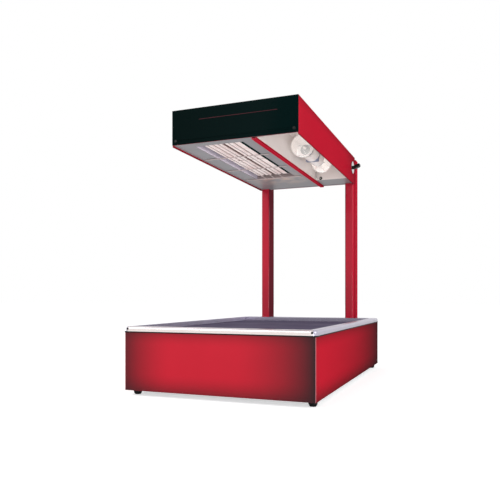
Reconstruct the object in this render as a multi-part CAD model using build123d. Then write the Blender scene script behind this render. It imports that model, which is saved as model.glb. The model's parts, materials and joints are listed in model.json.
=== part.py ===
from build123d import *
import os

# Heated holding station: a low heated base, two posts at its rear, and a head that
# reaches forward over the base with ceramic heaters on one side and lamps on the other.
# Millimetres, +X right, +Y back, +Z up. The front face of the base is y = 0 while the
# pieces are made, and everything is then centred on its footprint, standing on z = 0.

# ---- base ----
base_width = 361.0
base_depth = 610.0
body_height = 108.0
sheet = 1.2
foot_height = 10.0
foot_radius = 8.0
foot_side_inset = 12.0
foot_end_inset = 24.5
foot_edge_round = 2.0
foot_screw_radius = 2.0
foot_screw_head_radius = 3.6
foot_screw_head_height = 2.4
foot_screw_sink = 2.2
foot_screw_reach = 4.5

# ---- bright rim and rear deck ----
rim_height = 9.0
rim_width = 14.0
rim_overhang = 1.2
rim_edge_round = 4.5
rim_corner_radius = 10.0
rim_wall = 2.2
rim_joint_inset = 5.6
rim_joint_gap = 0.4
deck_depth = 54.0
deck_post_gap = 0.4

# ---- holding plate and what warms it ----
plate_thickness = 2.5
plate_gap = 0.5
plate_lap = 8.0
blanket_thickness = 1.6
blanket_inset = 26.0
insulation_thickness = 25.0
retainer_thickness = 1.0
thermostat_radius = 8.0
thermostat_height = 15.0
thermostat_gap = 1.0
thermostat_edge = 1.0
angle_leg = 18.0
angle_wall = 1.5
cross_wall = 1.5
cross_flange = 12.0

# ---- rear panel fittings ----
switch_spacing = 44.0
switch_offset = 38.0
switch_height = 62.0
bezel_width = 24.0
bezel_height = 32.0
bezel_thickness = 2.0
switch_body_width = 21.0
switch_body_height = 29.0
switch_body_depth = 20.0
rocker_width = 16.0
rocker_half_height = 12.0
rocker_side_gap = 0.4
rocker_end_gap = 1.3
rocker_depth = 6.0
rocker_crown = 3.0
rocker_tilt = 10.0
rocker_pin_radius = 1.5
rocker_pin_length = 1.6
rocker_pin_gap = 0.05
ear_wall = 1.0
tab_width = 6.3
tab_thickness = 0.8
tab_length = 8.0
tab_pitch = 9.0
gland_offset = 60.0
gland_height = 44.0
gland_radius = 9.0
gland_bore = 4.5
gland_collar_radius = 12.0
gland_collar_length = 4.0
gland_nose_length = 9.0
gland_tail_length = 10.0
gland_nose_chamfer = 2.0
block_length = 48.0
block_width = 18.0
block_height = 16.0
block_ways = 6
block_notch_width = 1.2
block_notch_depth = 3.0
lead_radius = 2.5
sense_lead_bend = 6.0
sense_lead_rise = 12.0
switch_lead_radius = 1.25
switch_lead_bend = 3.0
switch_lead_step = 9.0

# ---- posts ----
post_width = 25.8
post_depth = 39.0
post_wall = 2.0
post_front_width = 22.0
post_round = 4.5
post_rear_round = 3.0
post_top_drop = 5.2
post_cap_thickness = 1.6
post_cap_plug = 8.0
rebate_gap = 0.4
rebate_rear_gap = 1.6
post_screw_radius = 2.5
post_screw_head_radius = 4.5
post_screw_head_height = 2.8
post_screw_past_wall = 2.0
post_screw_low = 34.0
post_screw_high = 88.0
cable_radius = 3.0
cable_bend = 9.0
bushing_wall = 1.2
bushing_lip = 1.2

# ---- head ----
head_width = 253.6
head_height = 70.0
head_length = 501.6
head_past_post = 11.2
head_clearance = 342.6
front_panel_thickness = 1.5
front_panel_lift = 3.4
front_frame_drop = 0.3
front_screw_inset = 7.8
front_screw_lift = 7.5
front_screw_radius = 1.5
front_screw_head_radius = 2.9
front_screw_head_height = 1.2
front_screw_reach = 6.0
side_corner_radius = 14.0
post_side_gap = 0.6
post_front_gap = 1.0
lining = 1.0

# ---- clamp that sets the height of the head ----
clamp_from_post = 21.5
clamp_rise = 38.3
height_travel = 10.0
stud_radius = 3.0
stud_gap = 0.05
slot_gap = 0.3
arm_thickness = 2.5
arm_gap = 0.7
arm_reach = 38.0
arm_height = 34.0
arm_screw_radius = 2.0
arm_screw_head_radius = 3.6
arm_screw_head_height = 2.2
arm_screw_spacing = 24.0
arm_screw_reach = 5.0
nut_across_flats = 10.0
nut_thickness = 5.0
washer_radius = 15.0
washer_thickness = 1.5
washer_gap = 0.3
knob_hub_radius = 4.5
knob_hub_length = 4.0
knob_reach = 18.0
knob_rise = 8.0
knob_thickness = 9.0
knob_tip_thickness = 7.0
knob_width = 12.0
knob_round = 2.0
stud_in_knob = 7.0
stud_past_nut = 1.0

# ---- heater side of the head ----
divider_left = 36.6
divider_width = 9.0
recess_side_border = 35.6
recess_width = 101.0
recess_front_border = 24.6
recess_length = 341.0
recess_depth = 22.0
reflector_wall = 0.8
reflector_flange = 10.0
element_width = 40.0
element_length = 158.0
element_gap = 4.0
element_side_border = 5.5
element_front_border = 8.0
element_thickness = 7.0
element_ridge = 3.0
element_face_lift = 7.0
boss_width = 14.0
boss_length = 22.0
boss_height = 20.0
boss_gap = 0.5
clip_border = 8.0
clip_thickness = 1.2
rail_width = 6.8
rail_thickness = 3.0
rail_lift = 0.3
rail_length = 291.0
rail_front_gap = 2.0
guard_wire = 1.0
guard_weld = 0.2
guard_left_reach = 26.0
guard_right_reach = 15.0
guard_first_wire = 101.0
guard_second_wire = 218.0
guard_last_wire = 330.0
head_block_gap = 25.0
head_block_margin = 8.0
element_lead_radius = 1.5
element_lead_bend = 6.0
element_lead_drop = 2.0

# ---- lamp side of the head ----
trough_past_lamp = 39.0
trough_front_gap = 4.0
trough_height = 57.0
trough_flat = 54.4
trough_lip = 7.0
trough_wall = 0.8
lamp_from_divider = 29.4
lamp_lift = 29.0
lamp_radius = 24.0
lamp_glass = 1.0
lamp_neck_radius = 12.2
lamp_cone_radius = 20.6
lamp_length = 43.0
lamp_cap_radius = 13.0
lamp_cap_length = 27.0
lamp_cap_gap = 0.3
socket_radius = 17.0
socket_length = 36.5
socket_floor = 5.5
bracket_from_front = 275.1
bracket_length = 10.0
bracket_wall = 1.5
bracket_width = 28.0
bracket_drop = 16.0
lamp_lead_radius = 1.1
lamp_lead_bend = 4.0
lamp_lead_run = 12.0
grommet_radius = 4.0
grommet_bore = 1.1
grommet_lip = 1.2
grommet_from_divider = 11.4
grommet_lift = 4.2

# ---- heights and faces that follow from the sizes above ----
body_top = foot_height + body_height
rim_top = body_top + rim_height
floor_top = foot_height + sheet
plate_under = body_top - plate_thickness
half_base = base_width / 2
inner_half = half_base - sheet
deck_front = base_depth - deck_depth
plate_rear = deck_front + plate_lap
rear_inner = base_depth - sheet
post_rear = rear_inner
post_front = post_rear - post_depth
half_head = head_width / 2
head_inner = half_head - sheet
head_rear = post_front + head_past_post
head_front = head_rear - head_length
head_bottom = rim_top + head_clearance
head_top = head_bottom + head_height
top_under = head_top - sheet
rebate_face = head_inner - rebate_gap
rebate_rear = head_rear + rebate_rear_gap
post_spread = rebate_face - post_front_width
post_outer = post_spread + post_width
post_top_height = head_top - post_top_drop
post_tube_top = post_top_height - post_cap_thickness
frame_front = head_front + front_panel_thickness
frame_rear = frame_front + sheet
rear_panel_front = head_rear - sheet
between_posts = post_spread - post_side_gap
notch_front = post_front - post_front_gap
plane_height = head_bottom + front_panel_lift
lining_top = plane_height + lining
divider_right = divider_left + divider_width
clamp_y = post_front - clamp_from_post
clamp_height = head_bottom + clamp_rise
arm_outer = head_inner - arm_gap
arm_inner = arm_outer - arm_thickness
washer_inner = half_head + washer_gap
knob_inner = washer_inner + washer_thickness
recess_left = -head_inner + recess_side_border
recess_right = recess_left + recess_width
recess_front = head_front + recess_front_border
recess_rear = recess_front + recess_length
reflector_ceiling = lining_top + recess_depth
element_left = recess_left + element_side_border
element_front = recess_front + element_front_border
element_face_height = plane_height + element_face_lift
boss_top = element_face_height + element_ridge + element_thickness + boss_height
lamp_x = divider_right + lamp_from_divider
lamp_height = plane_height + lamp_lift
trough_front = frame_rear + trough_front_gap
bracket_front = head_front + bracket_from_front
bracket_rear = bracket_front + bracket_length
lamp_reach = socket_floor + lamp_cap_length + lamp_length + lamp_radius
trough_rear = bracket_rear + lamp_reach + trough_past_lamp
gland_end = base_depth + gland_collar_length + gland_nose_length
footprint_front = -rim_overhang
footprint_middle = (footprint_front + gland_end) / 2


def block(x0, x1, y0, y1, z0, z1):
    centre = ((x0 + x1) / 2, (y0 + y1) / 2, (z0 + z1) / 2)
    return Pos(*centre) * Box(abs(x1 - x0), abs(y1 - y0), abs(z1 - z0))


def rod_z(x, y, z0, z1, radius):
    return Pos(x, y, (z0 + z1) / 2) * Cylinder(radius, abs(z1 - z0))


def rod_y(x, y0, y1, z, radius):
    return Pos(x, (y0 + y1) / 2, z) * Rot(90, 0, 0) * Cylinder(radius, abs(y1 - y0))


def rod_x(x0, x1, y, z, radius):
    return Pos((x0 + x1) / 2, y, z) * Rot(0, 90, 0) * Cylinder(radius, abs(x1 - x0))


def flip(shape):
    return mirror(shape, about=Plane.YZ)


def both_sides(shape):
    return [shape, flip(shape)]


def tube(points, radii, radius):
    path = FilletPolyline(*points, radius=radii)
    section = Plane(origin=path @ 0, z_dir=path % 0) * Circle(radius)
    return sweep(section, path=path)


def along_y(outline, y0, y1):
    face = Plane.XZ * make_face(outline)
    return Pos(0, y1, 0) * extrude(face, amount=y1 - y0)


def save(name, *shapes):
    solids = [solid for shape in shapes for solid in shape.solids()]
    moved = [Pos(0, -footprint_middle, 0) * solid for solid in solids]
    whole = moved[0] if len(moved) == 1 else Compound(children=moved)
    whole.label = name
    export_step(whole, "parts/" + name + ".step")


# ---- base body ----
def foot_centres():
    xs = (-half_base + foot_side_inset, half_base - foot_side_inset)
    ys = (foot_end_inset, base_depth - foot_end_inset)
    return [(x, y) for x in xs for y in ys]


def base_panels():
    save("base_front_panel", block(-inner_half, inner_half, 0, sheet, foot_height, body_top))
    side = block(inner_half, half_base, 0, base_depth, foot_height, body_top)
    save("base_right_panel", side)
    save("base_left_panel", flip(side))


def switch_places():
    first = switch_offset
    return {"heat": first, "light": first + switch_spacing}


def post_screw_places():
    x = post_spread + post_width / 2
    return [(side * x, z) for side in (-1, 1) for z in (post_screw_low, post_screw_high)]


def base_rear_panel():
    panel = block(-inner_half, inner_half, rear_inner, base_depth, foot_height, body_top)
    for x in switch_places().values():
        panel -= block(-x - switch_body_width / 2, -x + switch_body_width / 2,
                       rear_inner, base_depth,
                       switch_height - switch_body_height / 2, switch_height + switch_body_height / 2)
    panel -= rod_y(gland_offset, rear_inner, base_depth, gland_height, gland_radius)
    for x, z in post_screw_places():
        panel -= rod_y(x, rear_inner, base_depth, z, post_screw_radius)
    save("base_rear_panel", panel)


def base_floor():
    floor = block(-inner_half, inner_half, sheet, rear_inner, foot_height, floor_top)
    for x, y in foot_centres():
        floor -= rod_z(x, y, foot_height, floor_top, foot_screw_radius)
    save("base_floor", floor)


def feet():
    pads = []
    screws = []
    head_top_z = foot_screw_sink + foot_screw_head_height
    for x, y in foot_centres():
        pad = rod_z(x, y, 0, foot_height, foot_radius)
        low_edge = pad.edges().filter_by(GeomType.CIRCLE).sort_by(Axis.Z)[0]
        pad = fillet(low_edge, foot_edge_round)
        pad -= rod_z(x, y, 0, head_top_z, foot_screw_head_radius)
        pad -= rod_z(x, y, 0, foot_height, foot_screw_radius)
        pads.append(pad)
        screw = rod_z(x, y, foot_screw_sink, head_top_z, foot_screw_head_radius)
        screw += rod_z(x, y, foot_screw_sink, floor_top + foot_screw_reach, foot_screw_radius)
        screws.append(screw)
    save("bumper_feet", *pads)
    save("foot_screws", *screws)


def corner_angles():
    angles = []
    for rear in (False, True):
        top = body_top if rear else plate_under
        y0 = rear_inner - angle_leg if rear else sheet
        wall_y = rear_inner - angle_wall if rear else sheet
        leg = block(inner_half - angle_wall, inner_half, y0, y0 + angle_leg, floor_top, top)
        leg += block(inner_half - angle_leg, inner_half, wall_y, wall_y + angle_wall, floor_top, top)
        angles += both_sides(leg)
    save("corner_angles", *angles)


def rim():
    middle_y = base_depth / 2
    width = base_width + 2 * rim_overhang
    depth = base_depth + 2 * rim_overhang
    at = Pos(0, middle_y, body_top)
    ring = at * extrude(RectangleRounded(width, depth, rim_corner_radius), amount=rim_height)
    ring = fillet(ring.faces().sort_by(Axis.Z)[-1].edges(), rim_edge_round)
    inner_x = half_base + rim_overhang - rim_width
    inner_y = rim_width - rim_overhang
    ring -= block(-inner_x, inner_x, inner_y, deck_front, body_top, rim_top)
    hollow = RectangleRounded(width - 2 * rim_wall, depth - 2 * rim_wall, rim_corner_radius - rim_wall)
    groove = at * extrude(hollow, amount=rim_height - rim_wall)
    groove -= block(-inner_x - rim_wall, inner_x + rim_wall, inner_y - rim_wall,
                    deck_front + rim_wall, body_top, rim_top)
    ring -= groove
    joint = half_base - rim_joint_inset
    front_box = block(-joint, joint, -rim_overhang, inner_y, body_top, rim_top)
    save("rim_front_rail", ring & front_box)
    side_box = block(joint + rim_joint_gap, width, -rim_overhang, inner_y, body_top, rim_top)
    side_box += block(inner_x, width, inner_y, deck_front - rim_joint_gap, body_top, rim_top)
    side_rail = ring & side_box
    save("rim_right_rail", side_rail)
    save("rim_left_rail", flip(side_rail))
    deck_box = block(-width, width, deck_front, base_depth + rim_overhang, body_top, rim_top)
    deck = ring & deck_box
    for x_side in (-1, 1):
        near = x_side * (post_spread - deck_post_gap)
        far = x_side * (post_outer + deck_post_gap)
        deck -= block(near, far, post_front - deck_post_gap, post_rear + deck_post_gap, body_top, rim_top)
    save("rear_deck", deck)


def holding_plate():
    half = inner_half - plate_gap
    save("holding_plate", block(-half, half, sheet + plate_gap, plate_rear, plate_under, body_top))


def base_heater():
    half = inner_half - blanket_inset
    y0 = sheet + blanket_inset
    y1 = plate_rear - cross_flange - plate_gap
    blanket_low = plate_under - blanket_thickness
    wool_low = blanket_low - insulation_thickness
    retainer_low = wool_low - retainer_thickness
    x = 0
    y = (y0 + y1) / 2
    pocket = rod_z(x, y, retainer_low, blanket_low, thermostat_radius + thermostat_gap)
    save("base_heater_blanket", block(-half, half, y0, y1, blanket_low, plate_under))
    save("base_insulation", block(-half, half, y0, y1, wool_low, blanket_low) - pocket)
    retainer = block(-inner_half, inner_half, y0, y1, retainer_low, wool_low) - pocket
    save("insulation_retainer", retainer)
    thermostat = rod_z(x, y, blanket_low - thermostat_height, blanket_low, thermostat_radius)
    thermostat = chamfer(thermostat.edges().filter_by(GeomType.CIRCLE).sort_by(Axis.Z)[0], thermostat_edge)
    save("base_thermostat", thermostat)


def rear_cross_member():
    half = inner_half
    beam = block(-half, half, plate_rear - cross_wall, plate_rear, floor_top, plate_under)
    beam += block(-half, half, plate_rear - cross_flange, plate_rear,
                  plate_under - cross_wall, plate_under)
    beam += block(-half, half, plate_rear - cross_flange, plate_rear, floor_top, floor_top + cross_wall)
    beam -= rod_y(0, plate_rear - cross_wall, plate_rear, thermostat_lead_height(), lead_radius)
    save("rear_cross_member", beam)


# ---- switches, gland and wiring in the base ----
def rocker(x):
    half = rocker_half_height
    outline = Polyline((-rocker_depth, -half), (0, -half), (rocker_crown, 0), (0, half),
                       (-rocker_depth, half), close=True)
    body = extrude(Plane.YZ * make_face(outline), amount=rocker_width / 2, both=True)
    body = Rot(rocker_tilt, 0, 0) * body
    pin = rocker_width / 2 + rocker_pin_length
    body += rod_x(-pin, pin, 0, 0, rocker_pin_radius)
    return Pos(x, base_depth + bezel_thickness, switch_height) * body


def switch_housing(x):
    bezel_y = base_depth + bezel_thickness
    shell = block(x - bezel_width / 2, x + bezel_width / 2, base_depth, bezel_y,
                  switch_height - bezel_height / 2, switch_height + bezel_height / 2)
    shell += block(x - switch_body_width / 2, x + switch_body_width / 2,
                   base_depth - switch_body_depth, base_depth,
                   switch_height - switch_body_height / 2, switch_height + switch_body_height / 2)
    half_x = rocker_width / 2 + rocker_side_gap
    half_z = rocker_half_height + rocker_end_gap
    pocket_floor = bezel_y - rocker_depth - rocker_crown
    shell -= block(x - half_x, x + half_x, pocket_floor, bezel_y, switch_height - half_z,
                   switch_height + half_z)
    pin = rocker_width / 2 + rocker_pin_length + rocker_pin_gap
    shell -= rod_x(x - pin, x + pin, bezel_y, switch_height, rocker_pin_radius + rocker_pin_gap)
    ear_x = half_x + rocker_pin_length + rocker_side_gap
    ear_y = bezel_y + rocker_pin_radius + ear_wall
    z0 = switch_height - rocker_crown
    z1 = switch_height + rocker_crown
    ears = block(x - ear_x, x + ear_x, bezel_y, ear_y, z0, z1)
    ears -= block(x - half_x, x + half_x, bezel_y, ear_y, z0, z1)
    ears -= rod_x(x - pin, x + pin, bezel_y, switch_height, rocker_pin_radius + rocker_pin_gap)
    return shell + ears


def switches():
    housings = []
    tabs = []
    back = base_depth - switch_body_depth
    for name, place in switch_places().items():
        housings.append(switch_housing(-place))
        save(name + "_rocker", rocker(-place))
        for step in (-1, 0, 1):
            z = switch_height + step * tab_pitch
            tabs.append(block(-place - tab_width / 2, -place + tab_width / 2, back - tab_length, back,
                              z - tab_thickness / 2, z + tab_thickness / 2))
    save("switch_housings", *housings)
    save("switch_tabs", *tabs)


def cord_gland():
    collar_end = base_depth + gland_collar_length
    body = rod_y(gland_offset, base_depth, collar_end, gland_height, gland_collar_radius)
    body += rod_y(gland_offset, rear_inner - gland_tail_length, base_depth, gland_height, gland_radius)
    nose = rod_y(gland_offset, collar_end, gland_end, gland_height, gland_radius)
    body += chamfer(nose.edges().filter_by(GeomType.CIRCLE).sort_by(Axis.Y)[-1], gland_nose_chamfer)
    body -= rod_y(gland_offset, rear_inner - gland_tail_length, gland_end, gland_height, gland_bore)
    save("cord_gland", body)


def terminal_block_places():
    y0 = plate_rear + (rear_inner - plate_rear - block_width) / 2
    return -block_length / 2, block_length / 2, y0, y0 + block_width


def base_terminal_block():
    x0, x1, y0, y1 = terminal_block_places()
    body = block(x0, x1, y0, y1, floor_top, floor_top + block_height)
    top = floor_top + block_height
    half_notch = block_notch_width / 2
    for index in range(1, block_ways):
        x = x0 + index * block_length / block_ways
        body -= block(x - half_notch, x + half_notch, y0, y1, top - block_notch_depth, top)
    save("base_terminal_block", body)


def thermostat_lead_height():
    return floor_top + block_height + sense_lead_rise


def base_leads():
    x0, x1, y0, y1 = terminal_block_places()
    block_top = floor_top + block_height
    middle_y = (y0 + y1) / 2
    leads = []
    sense_low = plate_under - blanket_thickness - thermostat_height
    sense_y = (sheet + blanket_inset + plate_rear - cross_flange - plate_gap) / 2
    run_z = thermostat_lead_height()
    leads.append(tube([(0, sense_y, sense_low), (0, sense_y, run_z), (0, middle_y, run_z),
                       (0, middle_y, block_top)], sense_lead_bend, lead_radius))
    for index, place in enumerate(switch_places().values()):
        x = x0 + (index + 0.5) * block_length / block_ways
        z = switch_height - (index + 2) * switch_lead_step
        tab_y = base_depth - switch_body_depth - tab_length / 2
        tab_z = switch_height - tab_pitch - tab_thickness / 2
        leads.append(tube([(x, middle_y, block_top), (x, middle_y, z), (-place, tab_y, z),
                           (-place, tab_y, tab_z)], switch_lead_bend, switch_lead_radius))
    save("base_leads", *leads)


# ---- posts ----
def post_outline():
    x0 = post_spread
    x1 = rebate_face
    x2 = post_outer
    outline = Polyline((x0, post_front), (x1, post_front), (x1, rebate_rear), (x2, rebate_rear),
                       (x2, post_rear), (x0, post_rear), close=True)
    face = make_face(outline)
    face = fillet(face.vertices().group_by(Axis.Y)[0], post_round)
    return fillet(face.vertices().group_by(Axis.Y)[-1], post_rear_round)


def posts():
    outer = post_outline()
    inner = offset(outer, amount=-post_wall)
    solid = Pos(0, 0, floor_top) * extrude(outer, amount=post_tube_top - floor_top)
    bore = Pos(0, 0, floor_top) * extrude(inner, amount=post_tube_top - floor_top)
    tube_piece = solid - bore
    centre = post_spread + post_width / 2
    for z in (post_screw_low, post_screw_high):
        tube_piece -= rod_y(centre, post_rear - post_wall, post_rear, z, post_screw_radius)
    for z in arm_screw_heights():
        tube_piece -= rod_y(arm_screw_x(), post_front, post_front + post_wall, z, arm_screw_radius)
    save("left_post", flip(tube_piece))
    cable_hole = rod_y(arm_screw_x(), post_front, post_front + post_wall, clamp_height,
                       cable_radius + bushing_wall)
    save("right_post", tube_piece - cable_hole)
    cap = Pos(0, 0, post_tube_top) * extrude(outer, amount=post_cap_thickness)
    cap += Pos(0, 0, post_tube_top - post_cap_plug) * extrude(inner, amount=post_cap_plug)
    save("post_caps", *both_sides(cap))
    screws = arm_screws()
    for x, z in post_screw_places():
        screw = rod_y(x, base_depth, base_depth + post_screw_head_height, z, post_screw_head_radius)
        screw += rod_y(x, post_rear - post_wall - post_screw_past_wall, base_depth, z, post_screw_radius)
        screws.append(screw)
    save("post_screws", *screws)


def post_cable():
    x = arm_screw_x()
    y = (post_front + post_rear) / 2
    end_y = post_front - arm_thickness - bushing_lip
    route = [(x, y, floor_top), (x, y, clamp_height), (x, end_y, clamp_height)]
    save("post_cable", tube(route, cable_bend, cable_radius))
    sleeve = cable_radius + bushing_wall
    ring = rod_y(x, post_front - arm_thickness, post_front + post_wall, clamp_height, sleeve)
    ring += rod_y(x, end_y, post_front - arm_thickness, clamp_height, sleeve + bushing_lip)
    ring -= rod_y(x, end_y, post_front + post_wall, clamp_height, cable_radius)
    save("post_bushing", ring)


# ---- clamp ----
def arm_screw_x():
    return (post_spread + rebate_face) / 2


def arm_screw_heights():
    return (clamp_height - arm_screw_spacing / 2, clamp_height + arm_screw_spacing / 2)


def arms():
    z0 = clamp_height - arm_height / 2
    z1 = clamp_height + arm_height / 2
    arm = block(arm_inner, arm_outer, post_front - arm_reach, post_front, z0, z1)
    arm += block(post_spread + post_round, arm_outer, post_front - arm_thickness, post_front, z0, z1)
    arm -= rod_x(arm_inner, arm_outer, clamp_y, clamp_height, stud_radius + stud_gap)
    for z in arm_screw_heights():
        arm -= rod_y(arm_screw_x(), post_front - arm_thickness, post_front, z, arm_screw_radius)
    hexagon = RegularPolygon(nut_across_flats / 2, 6, major_radius=False)
    nut_face = Plane(origin=(arm_inner, clamp_y, clamp_height), z_dir=(-1, 0, 0)) * hexagon
    nut = extrude(nut_face, amount=nut_thickness)
    nut -= rod_x(arm_inner - nut_thickness, arm_inner, clamp_y, clamp_height, stud_radius + stud_gap)
    arm += nut
    cable_hole = rod_y(arm_screw_x(), post_front - arm_thickness, post_front, clamp_height,
                       cable_radius + bushing_wall)
    save("head_arms", arm - cable_hole, flip(arm))


def arm_screws():
    screws = []
    seat = post_front - arm_thickness
    for z in arm_screw_heights():
        screw = rod_y(arm_screw_x(), seat - arm_screw_head_height, seat, z, arm_screw_head_radius)
        screw += rod_y(arm_screw_x(), seat, seat + arm_screw_reach, z, arm_screw_radius)
        screws += both_sides(screw)
    return screws


def knob_body():
    low = -knob_thickness / 2
    high = knob_thickness / 2
    foot = knob_hub_length
    tip = knob_reach
    outline = Polyline((foot, low), (tip, knob_rise - knob_tip_thickness), (tip, knob_rise),
                       (tip - foot, knob_rise), (foot, high), close=True)
    paddle = extrude(Plane.XZ * make_face(outline), amount=knob_width / 2, both=True)
    paddle = fillet(paddle.edges().filter_by(Axis.Y), knob_round)
    paddle += rod_x(0, knob_hub_length, 0, 0, knob_hub_radius)
    paddle -= rod_x(0, stud_in_knob, 0, 0, stud_radius)
    return Pos(knob_inner, clamp_y, clamp_height) * paddle


def clamp_knobs():
    knob = knob_body()
    save("right_knob", knob)
    save("left_knob", flip(knob))
    stud = rod_x(arm_inner - nut_thickness - stud_past_nut, knob_inner + stud_in_knob,
                 clamp_y, clamp_height, stud_radius)
    washer = rod_x(washer_inner, knob_inner, clamp_y, clamp_height, washer_radius)
    washer -= rod_x(washer_inner, knob_inner, clamp_y, clamp_height, stud_radius)
    save("right_stud_and_washer", stud, washer)
    save("left_stud_and_washer", flip(stud), flip(washer))


# ---- head shell ----
def head_sides():
    side = block(head_inner, half_head, frame_front, head_rear, head_bottom, head_top)
    rear_edges = side.edges().filter_by(Axis.X).group_by(Axis.Y)[-1]
    side = fillet(rear_edges.sort_by(Axis.Z)[0], side_corner_radius)
    half_slot = stud_radius + slot_gap
    slot = block(head_inner, half_head, clamp_y - half_slot, clamp_y + half_slot,
                 clamp_height - height_travel, clamp_height + height_travel)
    slot += rod_x(head_inner, half_head, clamp_y, clamp_height - height_travel, half_slot)
    slot += rod_x(head_inner, half_head, clamp_y, clamp_height + height_travel, half_slot)
    side -= slot
    save("head_right_panel", side)
    save("head_left_panel", flip(side))


def head_covers():
    save("head_top_panel", block(-head_inner, head_inner, frame_front, notch_front, top_under, head_top))
    rear = block(-between_posts, between_posts, rear_panel_front, head_rear,
                 plane_height - front_frame_drop, head_top)
    rear += block(-between_posts, between_posts, notch_front, head_rear, top_under, head_top)
    rear += block(-between_posts, between_posts, notch_front, head_rear, plane_height, lining_top)
    save("head_rear_panel", rear)
    front = block(-half_head, half_head, head_front, frame_front, plane_height, head_top)
    frame = block(-head_inner, head_inner, frame_front, frame_rear,
                  plane_height - front_frame_drop, top_under)
    screws = []
    z = plane_height + front_screw_lift
    for x in (-half_head + front_screw_inset, half_head - front_screw_inset):
        front -= rod_y(x, head_front, frame_front, z, front_screw_radius)
        frame -= rod_y(x, frame_front, frame_rear, z, front_screw_radius)
        screw = rod_y(x, head_front - front_screw_head_height, head_front, z, front_screw_head_radius)
        screw += rod_y(x, head_front, head_front + front_screw_reach, z, front_screw_radius)
        screws.append(screw)
    save("head_front_panel", front)
    save("head_front_frame", frame)
    save("front_panel_screws", *screws)


def divider():
    x0 = divider_left
    x1 = divider_right
    channel = block(x0, x1, frame_rear, notch_front, head_bottom, top_under)
    channel += block(x0, x1, notch_front, rear_panel_front, head_bottom, plane_height)
    channel -= block(x0 + sheet, x1 - sheet, frame_rear, rear_panel_front, head_bottom + sheet, top_under)
    save("divider_channel", channel)


def linings():
    left = block(-head_inner, divider_left, frame_rear, notch_front, plane_height, lining_top)
    left -= block(recess_left, recess_right, recess_front, recess_rear, plane_height, lining_top)
    save("heat_lining", left)
    right = block(divider_right, head_inner, trough_rear, notch_front, plane_height, lining_top)
    save("lamp_end_lining", right)


# ---- heaters ----
def element_centres():
    xs = [element_left + element_width / 2 + k * (element_width + element_gap) for k in range(2)]
    ys = [element_front + element_length / 2 + k * (element_length + element_gap) for k in range(2)]
    return [(x, y) for x in xs for y in ys]


def element_reflector():
    w = reflector_wall
    tray = block(recess_left - w, recess_right + w, recess_front - w, recess_rear + w,
                 lining_top, reflector_ceiling)
    tray += block(recess_left - reflector_flange, recess_right + reflector_flange,
                  recess_front - reflector_flange, recess_rear + reflector_flange, lining_top, lining_top + w)
    tray -= block(recess_left, recess_right, recess_front, recess_rear, lining_top, reflector_ceiling - w)
    for x, y in element_centres():
        half_x = boss_width / 2 + boss_gap
        half_y = boss_length / 2 + boss_gap
        tray -= block(x - half_x, x + half_x, y - half_y, y + half_y, lining_top, reflector_ceiling)
    save("element_reflector", tray)


def ceramic_element(x, y):
    half = element_width / 2
    back = element_face_height + element_ridge + element_thickness
    face = element_face_height + element_ridge
    outline = [Line((-half, back), (-half, face)),
               ThreePointArc((-half, face), (-half / 2, element_face_height), (0, face)),
               ThreePointArc((0, face), (half / 2, element_face_height), (half, face)),
               Line((half, face), (half, back)),
               Line((half, back), (-half, back))]
    body = along_y(Curve() + outline, 0, element_length)
    body = Pos(x, y - element_length / 2, 0) * body
    body += block(x - boss_width / 2, x + boss_width / 2, y - boss_length / 2, y + boss_length / 2,
                  back, boss_top)
    return body


def heaters():
    save("ceramic_elements", *[ceramic_element(x, y) for x, y in element_centres()])
    clips = []
    for x, y in element_centres():
        half_x = boss_width / 2
        half_y = boss_length / 2
        clip = block(x - half_x - clip_border, x + half_x + clip_border, y - half_y - clip_border,
                     y + half_y + clip_border, reflector_ceiling, reflector_ceiling + clip_thickness)
        clip -= block(x - half_x, x + half_x, y - half_y, y + half_y,
                      reflector_ceiling, reflector_ceiling + clip_thickness)
        clips.append(clip)
    save("element_clips", *clips)
    rail_low = plane_height + rail_lift
    save("element_rail", block(recess_right - rail_width, recess_right, recess_front + rail_front_gap,
                               recess_front + rail_front_gap + rail_length, rail_low,
                               rail_low + rail_thickness))
    save("head_insulation", block(recess_left - reflector_flange, recess_right + reflector_flange,
                                  recess_front - reflector_flange, recess_rear + reflector_flange,
                                  boss_top, top_under))


def wire_guard():
    low = plane_height - guard_wire
    high = low + 2 * guard_wire - guard_weld
    steps = (guard_first_wire, guard_second_wire, guard_last_wire)
    places = [recess_front + step for step in steps]
    cross = [rod_x(recess_left - guard_left_reach, recess_right + guard_right_reach, y, low, guard_wire)
             for y in places]
    middle = element_left + element_width + element_gap / 2
    ridge = (element_width + element_gap) / 2
    lengthwise = [rod_y(x, recess_front, places[-1] + 2 * guard_wire, high, guard_wire)
                  for x in (middle - ridge, middle, middle + ridge)]
    guard = cross[0]
    for wire in cross[1:] + lengthwise:
        guard += wire
    save("wire_guard", guard)


def head_wiring():
    xs = sorted({x for x, y in element_centres()})
    rear_y = max(y for x, y in element_centres()) + boss_length / 2
    lead_z = boss_top - element_lead_radius - element_lead_drop
    x0 = xs[0] - head_block_margin
    x1 = xs[1] + head_block_margin
    y0 = recess_rear + head_block_gap
    body = block(x0, x1, y0, y0 + block_width, lining_top, lining_top + block_height)
    save("head_terminal_block", body)
    leads = []
    bridge_front = element_front + (element_length + boss_length) / 2
    bridge_rear = rear_y - boss_length
    for x in xs:
        y = y0 + block_width / 2
        leads.append(tube([(x, rear_y, lead_z), (x, y, lead_z), (x, y, lining_top + block_height)],
                          element_lead_bend, element_lead_radius))
        leads.append(rod_y(x, bridge_front, bridge_rear, lead_z, element_lead_radius))
    save("head_leads", lamp_lead(), *leads)


# ---- lamps ----
def trough_outline(wall):
    x0 = divider_right + wall
    x1 = divider_right + trough_flat - wall / 2
    x2 = head_inner - wall
    z0 = plane_height
    z1 = plane_height + trough_height - wall
    return Polyline((x0, z0), (x0, z1), (x1, z1), (x2, z0 + trough_lip), (x2, z0), close=True)


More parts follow.
